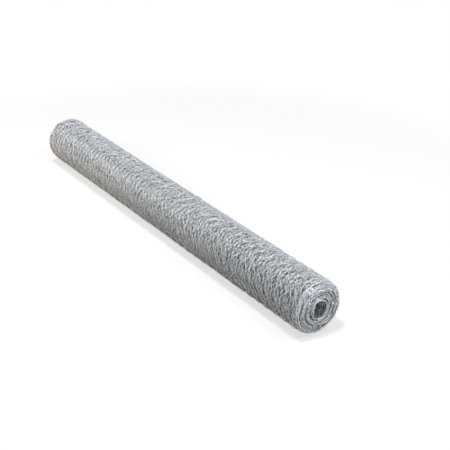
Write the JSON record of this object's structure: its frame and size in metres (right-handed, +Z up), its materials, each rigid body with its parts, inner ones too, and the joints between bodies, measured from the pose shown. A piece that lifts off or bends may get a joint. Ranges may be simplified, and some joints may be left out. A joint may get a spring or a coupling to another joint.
{
  "type": "roll of chicken wire",
  "caption": "Long round roll of galvanised hexagonal wire netting, wound on itself round an open bore, with the turns showing as a spiral on both ends.",
  "frame": {"origin": "on the floor, under the middle of the lying roll", "axes": "+X along the roll, +Z up"},
  "size_m": [0.9, 0.1, 0.0999],
  "materials": {
    "galvanised_wire": "bright zinc coating on thin drawn wire"
  },
  "bodies": {
    "root": {"netting_roll": "galvanised_wire"}
  },
  "joints": []
}
